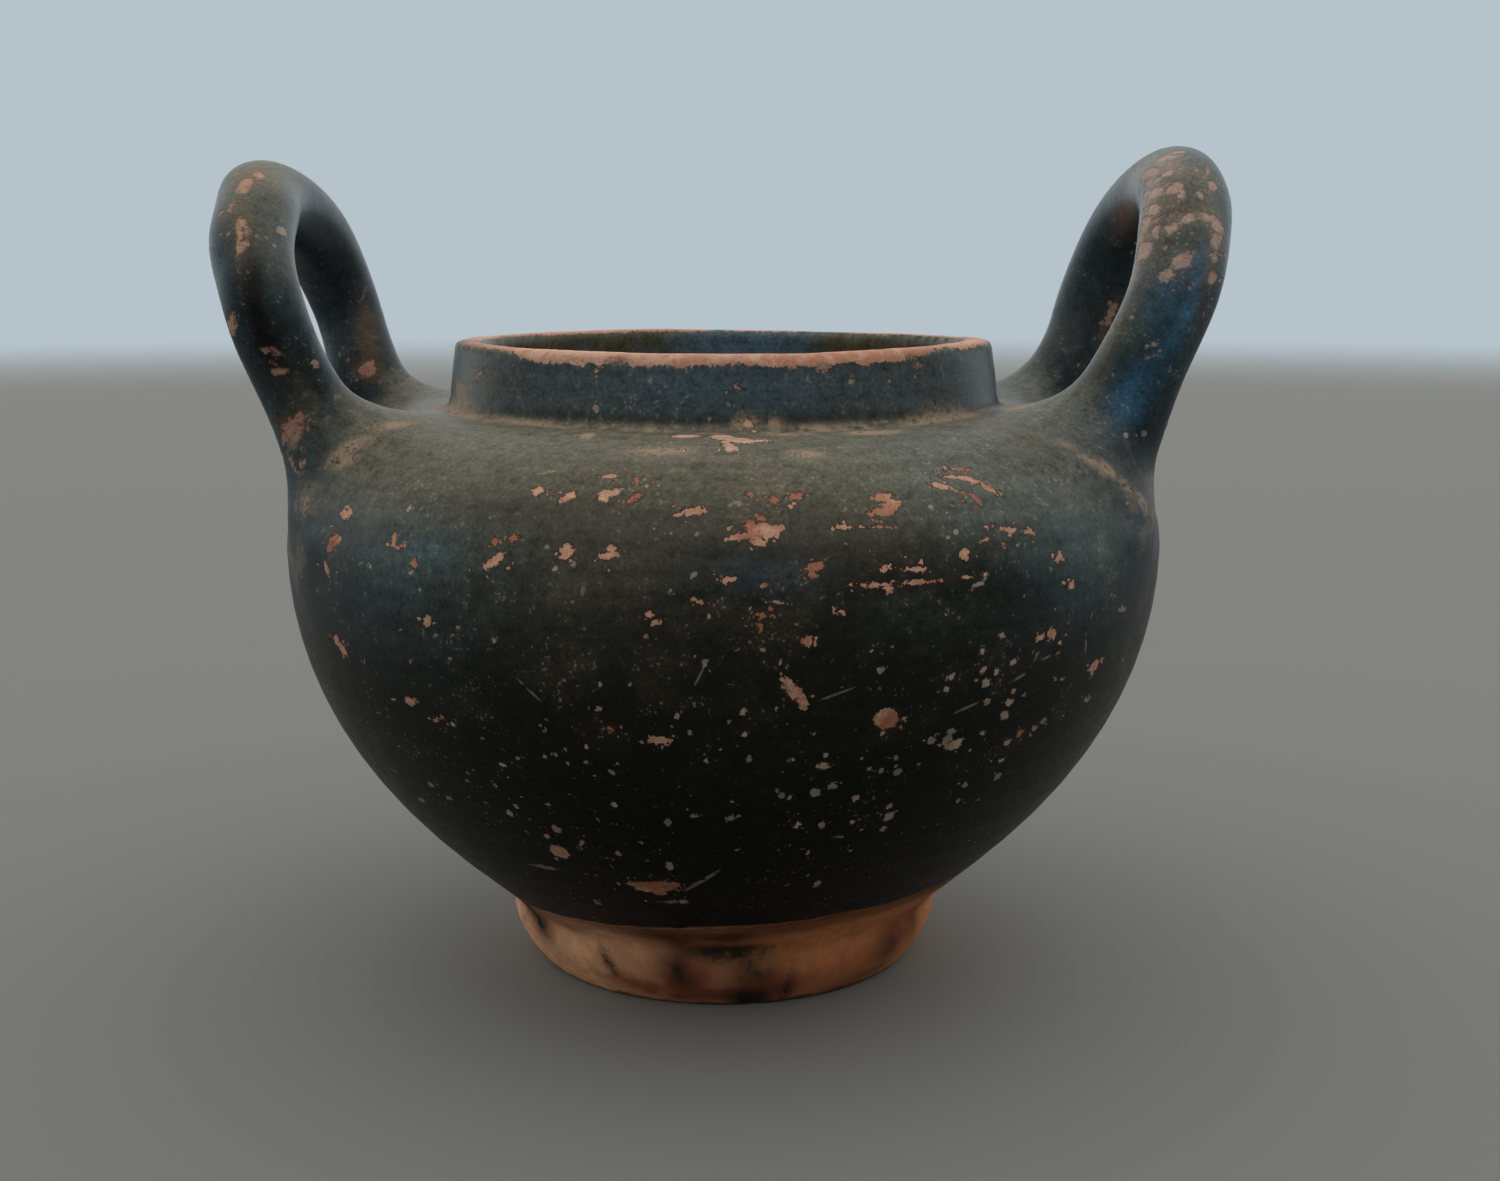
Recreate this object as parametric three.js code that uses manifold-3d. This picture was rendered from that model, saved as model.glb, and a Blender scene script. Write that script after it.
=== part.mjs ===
// Pyxis: a small squat pot of black-gloss clay with an upright collar and loop handles.
// Millimetres, +Z up. The origin is on the pot's axis where the foot rests, +X runs to the right handle.
import * as THREE from 'three';
import { mergeVertices } from 'three/addons/utils/BufferGeometryUtils.js';
import Module from 'manifold-3d';

// Driving dimensions of the thrown body. A pull is how far a curve's handle reaches from its end.
const foot = {
  ringWidth: 4.2, restRadius: 23.4, edgeRadius: 26.4, edgeZ: 3.4, sideRadius: 26.6, sideZ: 6.1,
  junctionRadius: 26.5, height: 7.4,
};
const recess = { middleDepth: 3.6, rimDepth: 2.9, rimRadius: 16.8, cornerDepth: 2.1, cornerRadius: 18.5 };
const belly = { radius: 52.5, widestZ: 52, lowPull: 3.5, lowSpread: 0.7, highPull: 27.8 };
const shoulder = { risePull: 9, crownRadius: 43.5, crownZ: 69 };
const collar = { baseRadius: 33.7, baseZ: 67.8, neckRadius: 32.8, neckZ: 70.2, topRadius: 32.2 };
const lip = { topZ: 75.9, edgeRound: 0.8, innerRadius: 28.8 };

// The hollow follows the outside at the wall's thickness, down to a nearly flat floor
const wall = 3.4;
const hollow = {
  floorZ: 8, floorPull: 23, startShare: 0.12,
  throatRadius: 30, throatZ: 65.8, neckRadius: 29.4, neckZ: 68.8,
};

// Driving dimensions of the loop handles: distance out from the axis, half the spacing of the legs, height.
// The flare is what the handle's radius has gained where it enters the shoulder.
const rootZ = 58;
const legLowZ = 70;
const legMiddleZ = 80;
const flareStartZ = 76;
const handles = [
  {
    side: 1, thickness: 10, topThickness: 10.2, flare: 5.6,
    root: { out: 38.8, apart: 19.2 },
    legLow: { out: 45.3, apart: 18.2 },
    legMiddle: { out: 49.3, apart: 19.8 },
    legHigh: { out: 52.1, apart: 15.2, z: 88.9 },
    top: { out: 54, z: 93.8 },
  },
  {
    side: -1, thickness: 8.6, topThickness: 9.4, flare: 4.6,
    root: { out: 40.2, apart: 19 },
    legLow: { out: 46.7, apart: 19.4 },
    legMiddle: { out: 50.1, apart: 22 },
    legHigh: { out: 52.5, apart: 15.8, z: 88 },
    top: { out: 54.4, z: 92.3 },
  },
];

// How finely the shapes are cut
const facetsRound = 64;
const footSteps = 3;
const bellySteps = 11;
const shoulderSteps = 8;
const floorSteps = 4;
const handleSteps = 34;
const handleSides = 14;
const weldDistance = 1e-3;

const wasm = await Module();
wasm.setup();

function flat(x, y) {
  return new THREE.Vector2(x, y);
}

// The body's outer curves, as half profiles of (radius, height)
const bellyCurve = new THREE.CubicBezierCurve(
  flat(foot.junctionRadius, foot.height),
  flat(foot.junctionRadius + belly.lowSpread, foot.height + belly.lowPull),
  flat(belly.radius, belly.widestZ - belly.highPull),
  flat(belly.radius, belly.widestZ),
);
const shoulderCurve = new THREE.CubicBezierCurve(
  flat(belly.radius, belly.widestZ),
  flat(belly.radius, belly.widestZ + shoulder.risePull),
  flat(shoulder.crownRadius, shoulder.crownZ),
  flat(collar.baseRadius, collar.baseZ),
);

// Points of a curve moved inwards by the wall, from the share `from` of its length to its end
function insetPoints(curve, from, steps) {
  const points = [];
  for (let i = 0; i <= steps; i += 1) {
    const share = from + ((1 - from) * i) / steps;
    const at = curve.getPointAt(share);
    const along = curve.getTangentAt(share);
    points.push(flat(at.x - along.y * wall, at.y + along.x * wall));
  }
  return points;
}

// The outside of the pot, closed on the axis: underside, ring foot, belly, shoulder, collar and lip
function outerProfile() {
  const footSide = new THREE.QuadraticBezierCurve(
    flat(foot.restRadius, 0),
    flat(foot.edgeRadius, foot.edgeZ),
    flat(foot.sideRadius, foot.sideZ),
  );
  return [
    flat(0, recess.middleDepth),
    flat(recess.rimRadius, recess.rimDepth),
    flat(recess.cornerRadius, recess.cornerDepth),
    flat(foot.restRadius - foot.ringWidth, 0),
    ...footSide.getPoints(footSteps),
    ...bellyCurve.getSpacedPoints(bellySteps),
    ...shoulderCurve.getSpacedPoints(shoulderSteps).slice(1),
    flat(collar.neckRadius, collar.neckZ),
    flat(collar.topRadius, lip.topZ - lip.edgeRound),
    flat(collar.topRadius - lip.edgeRound, lip.topZ),
    flat(0, lip.topZ),
  ];
}

// The hollow, closed on the axis above the lip: floor, belly, shoulder, neck and mouth
function hollowProfile() {
  const innerBelly = insetPoints(bellyCurve, hollow.startShare, bellySteps - 2);
  const innerShoulder = insetPoints(shoulderCurve, 0, shoulderSteps - 1).slice(1, -1);
  const floorCurve = new THREE.QuadraticBezierCurve(
    flat(0, hollow.floorZ),
    flat(hollow.floorPull, hollow.floorZ),
    innerBelly[0],
  );
  return [
    ...floorCurve.getPoints(floorSteps).slice(0, -1),
    ...innerBelly,
    ...innerShoulder,
    flat(hollow.throatRadius, hollow.throatZ),
    flat(hollow.neckRadius, hollow.neckZ),
    flat(lip.innerRadius, lip.topZ - lip.edgeRound),
    flat(lip.innerRadius + lip.edgeRound, lip.topZ),
    flat(lip.innerRadius + lip.edgeRound, lip.topZ + wall),
    flat(0, lip.topZ + wall),
  ];
}

// A manifold solid from a closed three.js geometry, without the slivers at the poles of a lathe
function solidOf(geometry) {
  const bare = geometry.clone();
  bare.deleteAttribute('normal');
  bare.deleteAttribute('uv');
  const merged = mergeVertices(bare, weldDistance);
  const corners = merged.index.array;
  const triangles = [];
  for (let i = 0; i < corners.length; i += 3) {
    const [a, b, c] = corners.slice(i, i + 3);
    if (a !== b && b !== c && c !== a) triangles.push(a, b, c);
  }
  return new wasm.Manifold(new wasm.Mesh({
    numProp: 3,
    vertProperties: new Float32Array(merged.attributes.position.array),
    triVerts: new Uint32Array(triangles),
  }));
}

function turned(profile) {
  const geometry = new THREE.LatheGeometry(profile, facetsRound);
  geometry.rotateX(Math.PI / 2);
  return solidOf(geometry);
}

// The centre line of one handle, from its front root over the top to its back root
function handleLine(form) {
  const leg = [
    [form.root, rootZ],
    [form.legLow, legLowZ],
    [form.legMiddle, legMiddleZ],
    [form.legHigh, form.legHigh.z],
  ];
  const place = (station, z, half) => new THREE.Vector3(form.side * station.out, half * station.apart, z);
  const frontLeg = leg.map(([station, z]) => place(station, z, -1));
  const backLeg = leg.map(([station, z]) => place(station, z, 1)).reverse();
  const top = new THREE.Vector3(form.side * form.top.out, 0, form.top.z);
  return new THREE.CatmullRomCurve3([...frontLeg, top, ...backLeg], false, 'centripetal');
}

// The handle's radius at a height: slightly different at the top, and flaring out into the shoulder
function handleRadius(form, z) {
  const nearTop = Math.exp(-(((z - form.top.z) / form.thickness) ** 2));
  const roll = form.thickness + (form.topThickness - form.thickness) * nearTop;
  const below = Math.max(flareStartZ - z, 0) / (flareStartZ - rootZ);
  return roll / 2 + form.flare * below ** 2;
}

// One handle: a closed cylinder whose rings are carried along the handle's centre line
function handle(form) {
  const line = handleLine(form);
  const frames = line.computeFrenetFrames(handleSteps, false);
  const tube = new THREE.CylinderGeometry(1, 1, 1, handleSides, handleSteps);
  const vertices = tube.attributes.position;
  for (let i = 0; i < vertices.count; i += 1) {
    const share = vertices.getY(i) + 0.5;
    const step = Math.round(share * handleSteps);
    const centre = line.getPointAt(step / handleSteps);
    const radius = handleRadius(form, centre.z);
    centre.addScaledVector(frames.normals[step], vertices.getX(i) * radius);
    centre.addScaledVector(frames.binormals[step], -vertices.getZ(i) * radius);
    vertices.setXYZ(i, centre.x, centre.y, centre.z);
  }
  return solidOf(tube);
}

let pot = turned(outerProfile());
for (const form of handles) {
  pot = pot.add(handle(form));
}
pot = pot.subtract(turned(hollowProfile()));

const shape = pot.getMesh();
const geometry = new THREE.BufferGeometry();
geometry.setAttribute('position', new THREE.BufferAttribute(shape.vertProperties, 3));
geometry.setIndex(new THREE.BufferAttribute(shape.triVerts, 1));
geometry.computeVertexNormals();

const blackGloss = new THREE.MeshStandardMaterial({ color: 0x1d1f1c, roughness: 0.45, metalness: 0 });
const pyxis = new THREE.Mesh(geometry, blackGloss);
pyxis.name = 'pyxis';

const part = new THREE.Group();
part.add(pyxis);

export default part;
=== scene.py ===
import math
import time

import bpy
import numpy as np
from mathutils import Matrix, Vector
from mathutils.bvhtree import BVHTree


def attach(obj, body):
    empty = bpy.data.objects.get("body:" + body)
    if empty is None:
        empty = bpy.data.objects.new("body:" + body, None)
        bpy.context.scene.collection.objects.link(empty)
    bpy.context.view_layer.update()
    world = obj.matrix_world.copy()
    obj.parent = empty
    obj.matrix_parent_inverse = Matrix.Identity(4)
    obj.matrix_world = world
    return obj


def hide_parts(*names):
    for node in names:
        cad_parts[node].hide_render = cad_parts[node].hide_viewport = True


# A small old pot of black-gloss clay: squat body, upright collar, bare foot and two loop handles.
# Lengths are millimetres unless a name says otherwise. +Z is up and +X runs to the right handle.

started = time.time()
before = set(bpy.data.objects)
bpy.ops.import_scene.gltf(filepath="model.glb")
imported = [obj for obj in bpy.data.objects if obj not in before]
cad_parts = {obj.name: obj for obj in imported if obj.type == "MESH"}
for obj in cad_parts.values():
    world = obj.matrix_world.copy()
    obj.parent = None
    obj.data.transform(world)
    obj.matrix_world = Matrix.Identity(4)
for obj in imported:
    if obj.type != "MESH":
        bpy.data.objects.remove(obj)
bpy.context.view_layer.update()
mm = 0.001  # one millimetre in Blender's metres


def report(stage):
    print(f"{stage}: {time.time() - started:.1f} s")


# The camera, which stands where the picture was taken from. Its picture is 1500 by 1181 pixels.
view = {
    "at": (0, -230, 86.17),
    "down": 10.19, "turn": -0.81,  # degrees
    "pixelsToDistance": 1877.3, "frame": (1500, 1181), "sensor": 36,
}


def setCamera():
    data = bpy.data.cameras.new("camera")
    data.sensor_width = view["sensor"]
    data.lens = view["pixelsToDistance"] / view["frame"][0] * view["sensor"]
    camera = bpy.data.objects.new("camera", data)
    camera.location = Vector(view["at"]) * mm
    camera.rotation_euler = (math.radians(90 - view["down"]), 0, math.radians(view["turn"]))
    bpy.context.scene.collection.objects.link(camera)
    bpy.context.scene.camera = camera
    return camera


def sightLine(across, down):
    # the direction from the camera through a pixel of the picture
    width, height = view["frame"]
    aim = Vector((across - width / 2, height / 2 - down, -view["pixelsToDistance"]))
    return (camera.rotation_euler.to_matrix() @ aim).normalized()


camera = setCamera()

# The shape of the pot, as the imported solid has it, with its edges rounded
body = {
    "foot": {"ring": 4.2, "rest": 23.4, "edge": 26.4, "edgeZ": 3.4, "side": 26.6, "sideZ": 6.1},
    "recess": [(0, 3.6), (12, 3.5), (16.8, 2.9), (18.5, 2.1)],
    "belly": [(26.5, 7.4), (27.2, 10.9), (52.5, 24.2), (52.5, 52)],
    "shoulder": [(52.5, 52), (52.5, 61), (43.5, 69), (33.7, 67.8)],
    "collar": [(33.3, 67.75), (32.75, 68.1), (32.8, 70.4)],
    "lip": {"topZ": 75.9, "outer": 32.2, "inner": 28.8, "round": 0.85},
    "throat": [(30, 65.8), (29.2, 67.2), (29.3, 68.8)],
    "wall": 3.4,
    "floor": {"z": 8, "pull": 23, "share": 0.12},
    "bellySteps": 60, "shoulderSteps": 40,
}

handleForms = {
    "right": {
        "side": 1, "thick": 10, "topThick": 10.2, "flare": 3.6,
        "root": (38.8, 19.2, 58), "low": (45.3, 18.2, 70), "middle": (49.3, 19.8, 80),
        "high": (52.1, 15.2, 88.9), "top": (54, 0, 93.8),
    },
    "left": {
        "side": -1, "thick": 8.6, "topThick": 9.4, "flare": 3.2,
        "root": (40.2, 19, 58), "low": (46.7, 19.4, 70), "middle": (50.1, 22, 80),
        "high": (52.5, 15.8, 88), "top": (54.4, 0, 92.3),
    },
}

making = {
    "cell": 0.95,  # spacing of the grid that the surface is taken from
    "boxLow": (-61.3, -54.7, -1.37), "boxHigh": (61.5, 55, 101),  # corners of that grid
    "relaxing": 8, "relaxPull": 0.6,  # how often and how far the vertices are evened out
    "tableStep": 0.25, "tableRadius": 84, "tableLow": -3, "tableHigh": 103,
    "batch": 30000, "gridBatch": 400000,  # points that are worked on at a time
    "join": 8.0, "outerJoin": 5.0,  # how far the clay is smoothed over at the handles' roots
    "outerFrom": 40, "outerOver": 8,  # where the second of these takes over, out from the axis
    "handlesFrom": (24, 40),  # no handle is nearer to the axis or lower than this
    "noHandle": 50.0,  # the distance to a handle that is taken everywhere else
    "waves": [(0.16, 2, 0.8, 0.02), (0.12, 3, -1.1, 0.05)],  # swell, waves round the pot, start and twist
    "ridge": 0.014, "ridgeEvery": 3.4, "ridgeTilt": 0.7,  # ridges left by the wheel
    "evenBelow": 7, "unevenOver": 8,  # none of this is below that height, and all of it so far above
    "unevenInside": 0.5,  # how much of it the inside has
    "pinch": 0.22, "pinchWaves": (0.37, 0.23, 0.31),  # unevenness left by rolling the handles
    "lipWear": 0.16, "lipWearFrom": 73, "lipWearOver": 2,  # how far the lip is worn down, and where
    "lipWaves": [(1, 5, 1), (0.6, 11, 3), (0.4, 23, 0)],  # share, waves round the lip and start
    "nicks": [  # places and radii of chips broken out of the foot's and the lip's edges
        (0.2, -25.2, -0.5, 1.5), (2.4, -24.9, -0.3, 1.0), (-17.5, -18, -0.3, 0.9), (20, -15.4, 0.2, 1.1),
        (9, 24, -0.3, 1.4), (-24, 6, -0.2, 1.2), (31.6, 8.5, 76.3, 0.8), (-13.2, -29.5, 76.4, 0.8),
        (16, -28.2, 76.5, 0.7), (-30, 13, 76.4, 0.9), (4, 32.6, 76.2, 0.8),
    ],
    "flareFrom": 76, "flareOver": 18,  # the height where the handles start to widen, and over how much
    "leastSlope": 0.3,  # of the field, where the vertices are moved onto the surface
    "seamReach": 4.0, "trackBlur": 8, "innerOver": 2.0,  # how softly the paint's zones are told apart
}


def bend(points, steps):
    # points along a Bezier curve with those control points
    controls = np.array(points, float)
    degree = len(controls) - 1
    share = np.linspace(0, 1, steps + 1)[:, None]
    weights = [math.comb(degree, k) * share**k * (1 - share) ** (degree - k) for k in range(degree + 1)]
    return sum(weight * control for weight, control in zip(weights, controls))


def rounding(centre, radius, fromAngle, toAngle, steps=6):
    # points along an arc
    angles = np.radians(np.linspace(fromAngle, toAngle, steps + 1))
    return np.column_stack([centre[0] + radius * np.cos(angles), centre[1] + radius * np.sin(angles)])


def inset(line, distance):
    # a line of points moved to its left, which is into the clay
    along = np.gradient(line, axis=0)
    along /= np.linalg.norm(along, axis=1)[:, None]
    return line + distance * np.column_stack([-along[:, 1], along[:, 0]])


def outerLine():
    foot, lip = body["foot"], body["lip"]
    edge = lip["round"]
    shoulder = bend(body["shoulder"], body["shoulderSteps"])
    return np.vstack([
        body["recess"],
        (foot["rest"] - foot["ring"], 0),
        bend([(foot["rest"], 0), (foot["edge"], foot["edgeZ"]), (foot["side"], foot["sideZ"])], 12),
        bend(body["belly"], body["bellySteps"]),
        shoulder[1:-2],
        bend([shoulder[-3], *body["collar"]], 8)[1:],
        rounding((lip["outer"] - edge, lip["topZ"] - edge), edge, 0, 90),
        (0, lip["topZ"]),
    ])


def hollowLine():
    lip, floor = body["lip"], body["floor"]
    edge = lip["round"]
    above = lip["topZ"] + 6  # the hollow goes on above the lip, so that it cuts the mouth open
    innerBelly = inset(bend(body["belly"], body["bellySteps"]), body["wall"])
    innerBelly = innerBelly[int(body["bellySteps"] * floor["share"]):]
    innerShoulder = inset(bend(body["shoulder"], body["shoulderSteps"]), body["wall"])[1:-3]
    return np.vstack([
        bend([(0, floor["z"]), (floor["pull"], floor["z"]), innerBelly[0]], 16)[:-1],
        innerBelly,
        innerShoulder,
        bend(body["throat"], 6),
        rounding((lip["inner"] + edge, lip["topZ"] - edge), edge, 180, 90),
        (lip["inner"] + edge, above),
        (0, above),
    ])


def distanceTable(line):
    # signed distances to a turned outline on a grid of radius and height, negative inside
    step = making["tableStep"]
    radii = np.arange(0, making["tableRadius"], step)
    heights = np.arange(making["tableLow"], making["tableHigh"], step)
    radius, height = np.meshgrid(radii, heights, indexing="ij")
    radius, height = radius.ravel(), height.ravel()
    nearest = np.full(radius.shape, 1e9)
    inside = np.zeros(radius.shape, bool)
    for (r0, z0), (r1, z1) in zip(line[:-1], line[1:]):
        dr, dz = r1 - r0, z1 - z0
        share = np.clip(((radius - r0) * dr + (height - z0) * dz) / (dr * dr + dz * dz + 1e-12), 0, 1)
        nearest = np.minimum(nearest, (radius - r0 - share * dr) ** 2 + (height - z0 - share * dz) ** 2)
        if z0 != z1:
            inside ^= ((z0 > height) != (z1 > height)) & (radius < r0 + (height - z0) * dr / dz)
    signed = np.where(inside, -1, 1) * np.sqrt(nearest)
    return signed.reshape(len(radii), len(heights))


def lookUp(table, radius, height):
    # the table's value between its four nearest entries
    step = making["tableStep"]
    a = np.clip(radius / step, 0, table.shape[0] - 1.001)
    b = np.clip((height - making["tableLow"]) / step, 0, table.shape[1] - 1.001)
    i, j = a.astype(int), b.astype(int)
    a, b = a - i, b - j
    low = table[i, j] * (1 - a) + table[i + 1, j] * a
    high = table[i, j + 1] * (1 - a) + table[i + 1, j + 1] * a
    return low * (1 - b) + high * b


def handleLine(form, perSpan=9):
    # a centripetal curve through the handle's stations, from its front root over the top to its back root
    legs = [form[name] for name in ("root", "low", "middle", "high")]
    stops = [(form["side"] * out, -apart, z) for out, apart, z in legs]
    stops.append((form["side"] * form["top"][0], 0, form["top"][2]))
    stops += [(x, -y, z) for x, y, z in reversed(stops[:-1])]
    stops = np.array(stops, float)
    stops = np.vstack([2 * stops[0] - stops[1], stops, 2 * stops[-1] - stops[-2]])
    points = []
    for p0, p1, p2, p3 in zip(stops[:-3], stops[1:-2], stops[2:-1], stops[3:]):
        t0, t1, t2 = (np.sqrt(np.linalg.norm(b - a)) for a, b in ((p0, p1), (p1, p2), (p2, p3)))
        start = ((p1 - p0) / t0 - (p2 - p0) / (t0 + t1) + (p2 - p1) / t1) * t1
        end = ((p2 - p1) / t1 - (p3 - p1) / (t1 + t2) + (p3 - p2) / t2) * t1
        for share in np.arange(perSpan) / perSpan:
            s2, s3 = share**2, share**3
            points.append(
                (2 * s3 - 3 * s2 + 1) * p1 + (s3 - 2 * s2 + share) * start
                + (3 * s2 - 2 * s3) * p2 + (s3 - s2) * end
            )
    points.append(stops[-2])
    return np.array(points)


def handleRadius(form, z):
    # half the handle's thickness at a height, more towards its roots
    nearTop = np.exp(-(((z - form["top"][2]) / form["thick"]) ** 2))
    roll = form["thick"] + (form["topThick"] - form["thick"]) * nearTop
    below = np.maximum(making["flareFrom"] - z, 0) / making["flareOver"]
    return roll / 2 + form["flare"] * below**2


def handleDistance(points, form, line):
    # distance to the rolled handle
    radius = handleRadius(form, line[:, 2])
    start, along = line[:-1], np.diff(line, axis=0)
    lengthSquared = (along**2).sum(1)
    distance = np.empty(len(points))
    for first in range(0, len(points), making["batch"]):
        rows = slice(first, first + making["batch"])
        part = points[rows, None, :] - start
        share = np.clip((part * along).sum(2) / lengthSquared, 0, 1)
        gap = np.linalg.norm(part - share[..., None] * along, axis=2)
        gap -= radius[:-1] + share * np.diff(radius)
        distance[rows] = gap.min(1)
    return distance


outerTable = distanceTable(outerLine())
hollowTable = distanceTable(hollowLine())
handleLines = {name: handleLine(form) for name, form in handleForms.items()}
report("profiles")


def trackAlong(points):
    # how far up its turned outline a point of the outside lies, measured along the outline
    line = outerLine()[::2]
    length = np.append(0, np.cumsum(np.linalg.norm(np.diff(line, axis=0), axis=1)))
    flat = np.column_stack([np.hypot(points[:, 0], points[:, 1]), points[:, 2]])
    gaps = ((flat[:, None, :] - line) ** 2).sum(2)
    nearness = np.exp(-gaps / making["trackBlur"])
    return (nearness @ length) / nearness.sum(1).clip(1e-9)


def unevenness(x, y, z):
    # how far the wheel and the hands left the outside proud of its ideal shape
    turn = np.arctan2(y, x)
    wide = 0
    for swell, count, start, twist in making["waves"]:
        wide += swell * np.sin(count * turn + start + twist * z)
    tilt = making["ridgeTilt"] * np.sin(turn + 0.4)
    ridge = making["ridge"] * np.sin(2 * np.pi * z / making["ridgeEvery"] + tilt)
    return np.clip((z - making["evenBelow"]) / making["unevenOver"], 0, 1) * (wide + ridge)


def field(points, parts=False):
    # signed distance to the pot's surface, negative in the clay, or else to each of the forms it's made of
    x, y, z = points.T
    radius = np.hypot(x, y)
    turn = np.arctan2(y, x)
    worn = (sum(share * np.sin(count * turn + start) for share, count, start in making["lipWaves"]) + 2) / 4
    worn *= making["lipWear"] * np.clip((z - making["lipWearFrom"]) / making["lipWearOver"], 0, 1)
    uneven = unevenness(x, y, z)
    outside = lookUp(outerTable, radius, z + worn) - uneven
    hollow = lookUp(hollowTable, radius, z) - making["unevenInside"] * uneven
    handle = np.full(len(points), making["noHandle"])
    nearest, lowest = making["handlesFrom"]
    sideWave, depthWave, upWave = making["pinchWaves"]
    for name, form in handleForms.items():
        near = (form["side"] * x > nearest) & (z > lowest)
        if near.any():
            px, py, pz = points[near].T
            pinch = np.sin(upWave * pz + depthWave * py + 2 * form["side"]) * np.sin(sideWave * px + 0.9)
            handle[near] = handleDistance(points[near], form, handleLines[name]) + making["pinch"] * pinch
    outward = np.clip((np.abs(x) - making["outerFrom"]) / making["outerOver"], 0, 1)
    join = making["join"] + (making["outerJoin"] - making["join"]) * outward
    blend = np.clip(0.5 + 0.5 * (outside - handle) / join, 0, 1)
    clay = outside + (handle - outside) * blend - join * blend * (1 - blend)
    for nickX, nickY, nickZ, size in making["nicks"]:
        clay = np.maximum(clay, size - np.sqrt((x - nickX) ** 2 + (y - nickY) ** 2 + (z - nickZ) ** 2))
    if parts:
        return outside, hollow, handle
    return np.maximum(clay, -hollow)


def slope(points, reach=0.06):
    # the field's value and its gradient at each point
    corners = np.array([(1, -1, -1), (-1, -1, 1), (-1, 1, -1), (1, 1, 1)], float)
    values = [field(points + reach * corner) for corner in corners]
    gradient = sum(value[:, None] * corner for value, corner in zip(values, corners)) / (4 * reach)
    return sum(values) / 4, gradient


def ontoSurface(points, times):
    # moves points along the field's slope until they lie on the surface
    for _ in range(times):
        value, gradient = slope(points)
        points = points - (value / (gradient**2).sum(1).clip(making["leastSlope"]))[:, None] * gradient
    return points


def surfaceNet(low, high, cell):
    # one vertex in each grid cell that the surface crosses, joined by a quad across each crossed edge
    axes = [np.arange(a, b + cell, cell) for a, b in zip(low, high)]
    shape = tuple(len(axis) for axis in axes)
    grid = np.stack(np.meshgrid(*axes, indexing="ij"), -1).reshape(-1, 3)
    batch = making["gridBatch"]
    values = np.concatenate([field(grid[first:first + batch]) for first in range(0, len(grid), batch)])
    values = values.reshape(shape)
    inside = values < 0
    cells = tuple(n - 1 for n in shape)
    total = np.zeros(cells + (3,))
    count = np.zeros(cells, int)
    quads = []
    for axis in range(3):
        step = [0, 0, 0]
        step[axis] = 1
        others = [a for a in range(3) if a != axis]
        lower = tuple(slice(0, n - s) for n, s in zip(shape, step))
        upper = tuple(slice(s, n) for n, s in zip(shape, step))
        crossed = inside[lower] != inside[upper]
        share = values[lower] / np.where(crossed, values[lower] - values[upper], 1)
        for da in (0, 1):
            for db in (0, 1):
                corner = [0, 0, 0]
                corner[others[0]], corner[others[1]] = da, db
                window = tuple(slice(c, c + n) for c, n in zip(corner, cells))
                hit = crossed[window]
                count += hit
                for a in range(3):
                    place = share[window] if a == axis else corner[a]
                    total[..., a] += np.where(hit, place, 0)
        at = np.argwhere(crossed)
        keep = np.all([(at[:, o] > 0) & (at[:, o] < cells[o]) for o in others], axis=0)
        at = at[keep]
        around = []
        for da, db in ((1, 1), (0, 1), (0, 0), (1, 0)):
            cellAt = at.copy()
            cellAt[:, others[0]] -= da
            cellAt[:, others[1]] -= db
            around.append(np.ravel_multi_index(cellAt.T, cells))
        around = np.array(around).T
        flip = inside[lower][tuple(at.T)] == (axis == 1)
        around[flip] = around[flip][:, ::-1]
        quads.append(around)
    mixed = count.ravel() > 0
    number = np.cumsum(mixed) - 1
    corners = np.array(np.unravel_index(np.flatnonzero(mixed), cells)).T
    middle = total.reshape(-1, 3)[mixed] / count.ravel()[mixed][:, None]
    vertices = np.array(low) + cell * (corners + middle)
    return vertices, number[np.vstack(quads)]


def relaxed(vertices, quads, times):
    # evens out the quads while the vertices stay on the surface
    pairs = np.vstack([quads[:, (k, (k + 1) % 4)] for k in range(4)])
    pairs = np.vstack([pairs, pairs[:, ::-1]])
    degree = np.bincount(pairs[:, 0], minlength=len(vertices))
    pull = making["relaxPull"]
    for turn in range(times):
        mean = [np.bincount(pairs[:, 0], vertices[pairs[:, 1], a], len(vertices)) / degree for a in range(3)]
        vertices = (1 - pull) * vertices + pull * np.array(mean).T
        if turn % 2:
            vertices = ontoSurface(vertices, 1)
    return ontoSurface(vertices, 3)


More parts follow.
